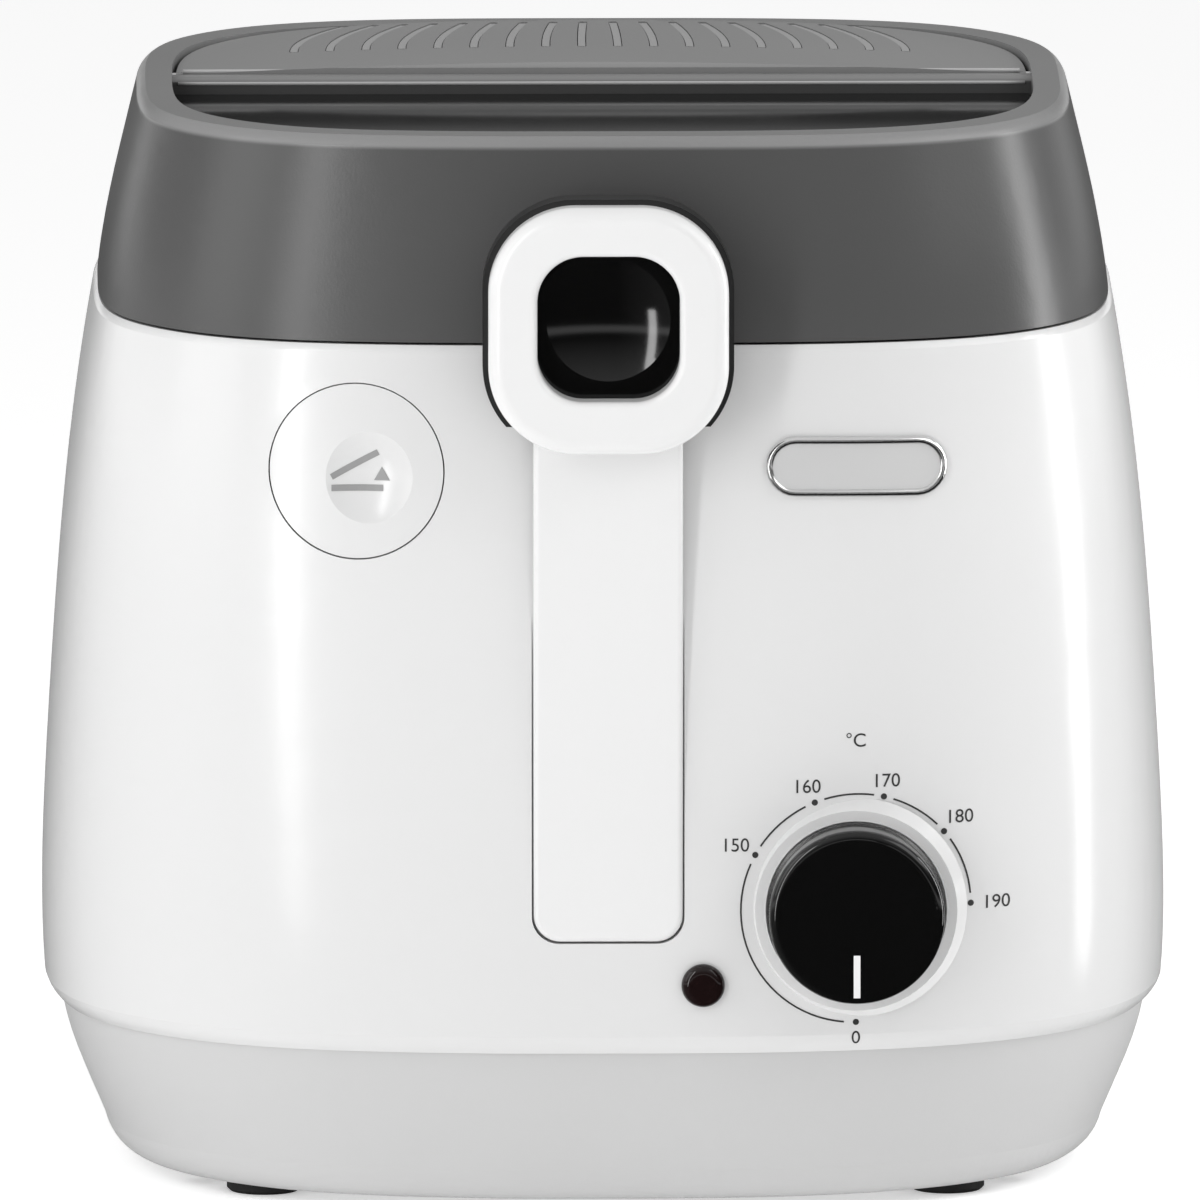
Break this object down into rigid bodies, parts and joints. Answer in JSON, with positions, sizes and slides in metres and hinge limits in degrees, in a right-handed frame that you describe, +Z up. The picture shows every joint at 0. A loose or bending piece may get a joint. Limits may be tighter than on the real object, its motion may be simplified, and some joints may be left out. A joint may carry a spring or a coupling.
{
  "type": "deep fryer",
  "caption": "Compact domestic deep fryer: oval body on a base tray, hinged lid with window and filter cover, folding basket handle with thumb slide, lid button and thermostat knob.",
  "frame": {"origin": "on the table, under the middle of the overall box", "axes": "+X right, -Y front with the handle and knob, +Z up"},
  "size_m": [0.2704, 0.262, 0.2612],
  "materials": {
    "body_white": "gloss",
    "base_grey": "satin",
    "lid_grey": "satin",
    "cover_grey": "satin",
    "black_gloss": "gloss",
    "black_plastic": "satin",
    "heatproof": "matt",
    "foot_rubber": "matt",
    "seal_rubber": "matt",
    "steel": "brushed",
    "chrome_trim": "polished",
    "aluminium": "cast",
    "bowl_coat": "non-stick",
    "window_glass": "gloss",
    "lamp_glass": "gloss",
    "filter_foam": "porous",
    "pointer_white": "satin",
    "wire_insulation": "matt"
  },
  "bodies": {
    "root": {"body_shell": "body_white", "base_tray": "base_grey", "feet": "foot_rubber", "base_screws": "steel", "screw_bosses": "body_white", "bowl": "bowl_coat", "element_plate": "aluminium", "heating_element": "steel", "element_clamp": "steel", "heat_shield": "steel", "shield_screws": "steel", "thermostat_body": "heatproof", "thermostat_bulb": "steel", "bulb_clip": "steel", "thermal_cutout": "heatproof", "terminal_block": "heatproof", "element_leads": "wire_insulation", "lamp_lens": "lamp_glass", "lamp_holder": "black_plastic", "badge_plate": "chrome_trim", "latch_pin": "steel", "cord_gland": "black_plastic", "lid_hinge_pin": "steel"},
    "carriage": {"carriage": "black_plastic", "basket": "steel", "basket_rim": "steel"},
    "handle": {"handle_strip": "body_white", "handle_frame": "black_plastic", "handle_bezel": "body_white", "handle_pin": "steel", "slider_spring": "steel"},
    "thumb_slide": {"thumb_slider": "black_gloss"},
    "lid": {"lid_shell": "lid_grey", "lid_liner": "steel", "lid_seal": "seal_rubber", "window_pane": "window_glass", "window_seal": "seal_rubber", "filter_cartridge": "filter_foam", "lid_catch": "lid_grey", "filter_hinge_pins": "steel"},
    "filter_cover": {"filter_cover": "cover_grey"},
    "release_button": {"lid_button": "body_white", "button_spring": "steel"},
    "latch": {"latch_lever": "black_plastic"},
    "thermostat_knob": {"knob": "black_gloss", "knob_pointer": "pointer_white", "knob_trim_ring": "chrome_trim", "knob_shaft": "steel"}
  },
  "joints": [
    {"name": "basket_lift", "type": "slide", "parent": "root", "child": "carriage", "axis": [0, 0, 1], "range_m": [0, 0.035]},
    {"name": "handle_fold", "type": "hinge", "parent": "carriage", "child": "handle", "pos_m": [0, -0.1152, 0.24], "axis": [-1, 0, 0], "range_deg": [0, 90]},
    {"name": "thumb_slide", "type": "slide", "parent": "handle", "child": "thumb_slide", "axis": [0, 0, -1], "range_m": [0, 0.004], "stiffness_N_per_m": 500, "springref_m": -0.001, "deforming": ["slider_spring"]},
    {"name": "lid_hinge", "type": "hinge", "parent": "root", "child": "lid", "pos_m": [0, 0.116, 0.206], "axis": [-1, 0, 0], "range_deg": [0, 80]},
    {"name": "filter_cover_hinge", "type": "hinge", "parent": "lid", "child": "filter_cover", "pos_m": [0, 0.0191, 0.2573], "axis": [1, 0, 0], "range_deg": [0, 65]},
    {"name": "release_press", "type": "slide", "parent": "root", "child": "release_button", "axis": [0, 1, 0], "range_m": [0, 0.003], "stiffness_N_per_m": 800, "springref_m": -0.001, "deforming": ["button_spring"]},
    {"name": "latch_pivot", "type": "hinge", "parent": "root", "child": "latch", "pos_m": [0, -0.0974, 0.14], "axis": [-1, 0, 0], "range_deg": [0, 4.24]},
    {"name": "knob_turn", "type": "hinge", "parent": "root", "child": "thermostat_knob", "pos_m": [0.0593, -0.1195, 0.076], "axis": [0, 1, 0], "range_deg": [0, 270]}
  ],
  "couplings": [
    {"joint": "latch_pivot", "follows": "release_press", "rad_per_m": 24.39}
  ]
}
